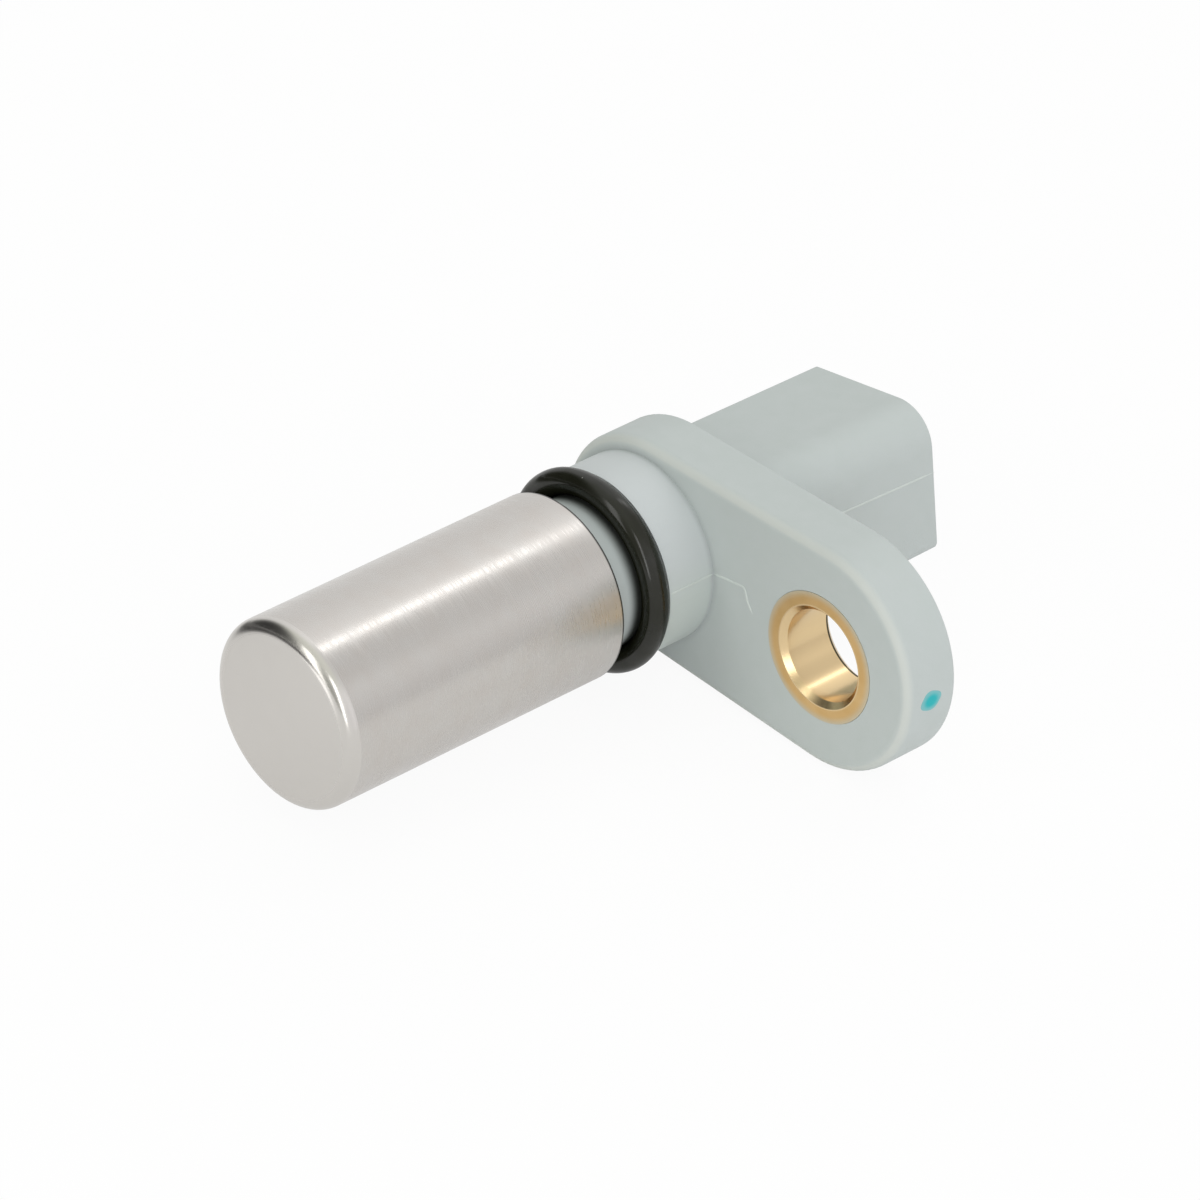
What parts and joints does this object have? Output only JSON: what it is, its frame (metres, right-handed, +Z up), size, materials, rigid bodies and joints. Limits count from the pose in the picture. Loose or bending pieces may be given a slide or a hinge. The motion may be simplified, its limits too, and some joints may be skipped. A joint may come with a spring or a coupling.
{
  "type": "crankshaft position sensor",
  "caption": "Engine speed sensor with a round metal-capped barrel, seal ring, side flange with a bushed bolt hole, and a keyed plug socket behind it.",
  "frame": {"origin": "on the barrel's axis, in the plane of the flange's seating face", "axes": "-Y along the barrel towards the sensing tip, +X towards the bolt hole, +Z up; the plug socket opens along +Y"},
  "size_m": [0.043, 0.0686, 0.0216],
  "materials": {
    "housing": "pale grey-green moulded plastic, fine satin grain",
    "cap_metal": "satin stainless steel with a grain round the barrel",
    "seal_rubber": "smooth black rubber, slightly oiled",
    "bushing_brass": "turned brass",
    "carrier": "black moulded plastic",
    "magnet": "sintered magnet, dull grey",
    "chip": "black moulded epoxy with tinned legs",
    "board": "green lacquered glass-fibre board",
    "capacitor": "tan ceramic",
    "terminal_metal": "tin-plated sheet metal"
  },
  "bodies": {
    "root": {"housing": "housing", "sensor_cap": "cap_metal", "seal_ring": "seal_rubber", "bolt_bushing": "bushing_brass", "chip_carrier": "carrier", "bias_magnet": "magnet", "sensor_chip": "chip", "circuit_board": "board", "capacitor_1": "capacitor", "capacitor_2": "capacitor", "terminal_1": "terminal_metal", "terminal_2": "terminal_metal", "terminal_3": "terminal_metal"}
  },
  "joints": []
}
